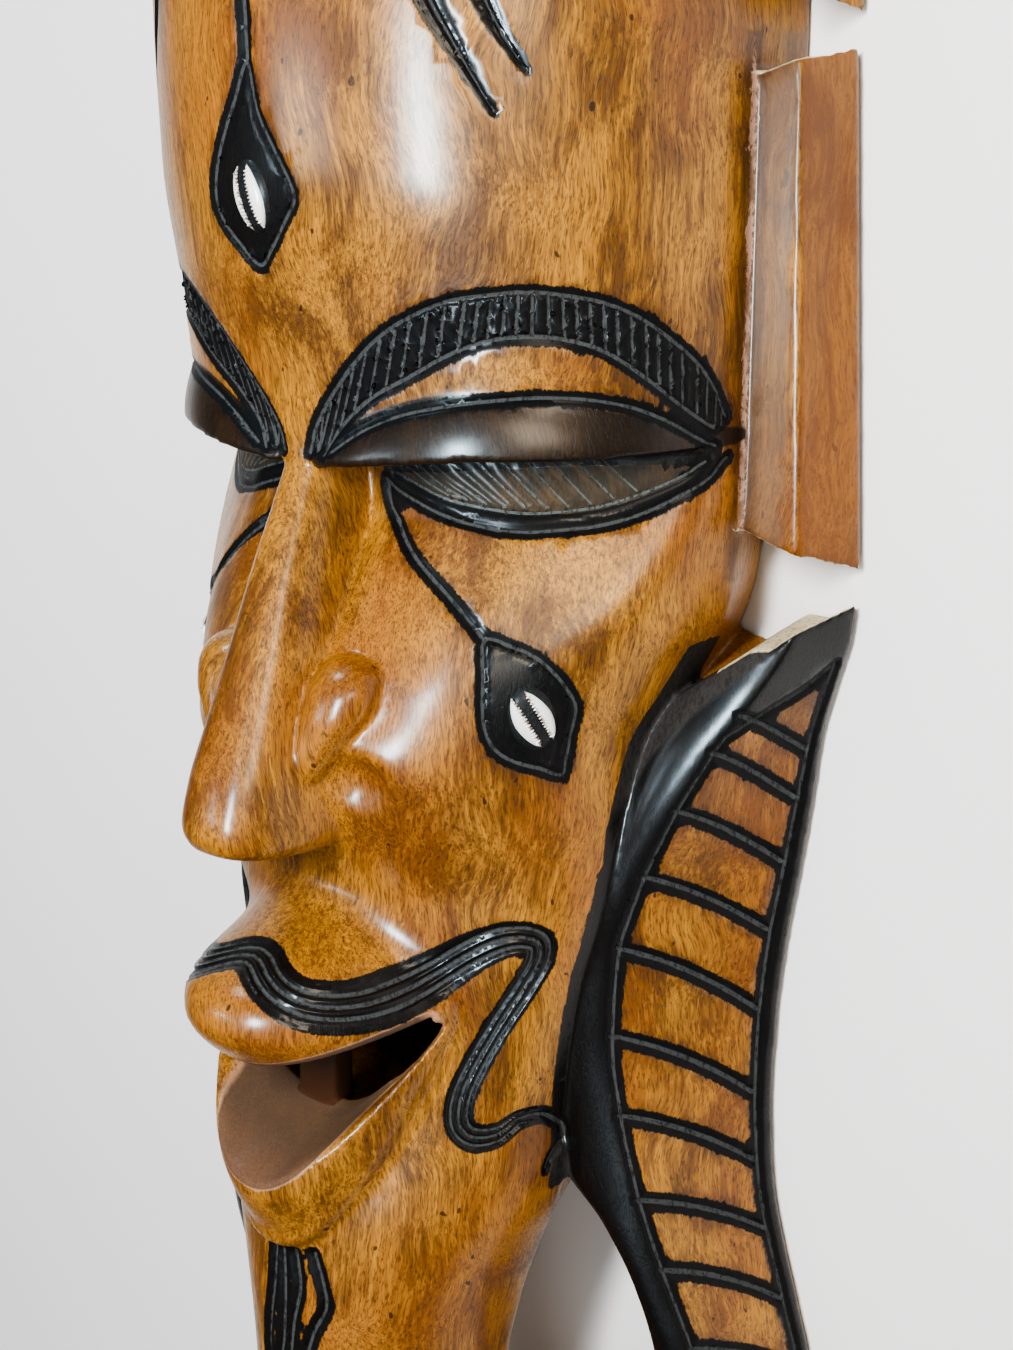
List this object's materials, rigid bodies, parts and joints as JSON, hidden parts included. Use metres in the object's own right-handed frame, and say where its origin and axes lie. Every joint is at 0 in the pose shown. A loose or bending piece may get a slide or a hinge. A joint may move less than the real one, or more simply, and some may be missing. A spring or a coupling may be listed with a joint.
{
  "type": "african mask",
  "caption": "Tall carved hardwood face mask with a deep brow, heavy-lidded eyes, open lips, a free-standing neck and notched ladder-cut side horns joined over the crown, set with cowrie shells.",
  "frame": {"origin": "middle of the mask's length and width, on the flat rim of its open back", "axes": "+X to the viewer's right, +Y towards the top of the head, +Z out of the face"},
  "size_m": [0.2854, 0.81, 0.17],
  "materials": {
    "wood": "varnished golden-brown hardwood, its carved lines stained black",
    "shell": null
  },
  "bodies": {
    "root": {"mask": "wood", "cowrie_forehead": "shell", "cowrie_right_cheek": "shell", "cowrie_left_cheek": "shell"}
  },
  "joints": []
}
